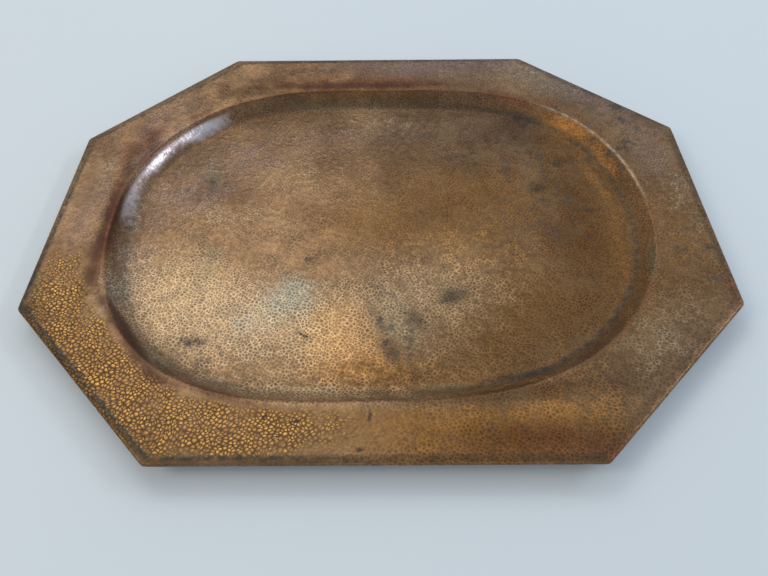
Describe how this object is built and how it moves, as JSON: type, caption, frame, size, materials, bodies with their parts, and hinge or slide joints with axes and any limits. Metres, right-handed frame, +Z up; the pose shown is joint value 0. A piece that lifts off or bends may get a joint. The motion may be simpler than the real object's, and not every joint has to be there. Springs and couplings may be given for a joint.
{
  "type": "octagonal copper tray",
  "caption": "Hand-hammered octagonal copper tray with a sloping rim, a shallow oval well and a turned-under edge closed over a stiffening wire.",
  "frame": {"origin": "centre of the flat underside of the well's floor, on the surface that the tray rests on", "axes": "+X along the tray's length, +Y along its width, +Z up, out of the well"},
  "size_m": [0.635, 0.527, 0.0215],
  "materials": {
    "hammered_copper": "planished, aged brown patina, satin",
    "iron_wire": "drawn iron wire, dull, hidden inside the edge"
  },
  "bodies": {
    "root": {"tray_sheet": "hammered_copper", "edge_wire": "iron_wire"}
  },
  "joints": []
}
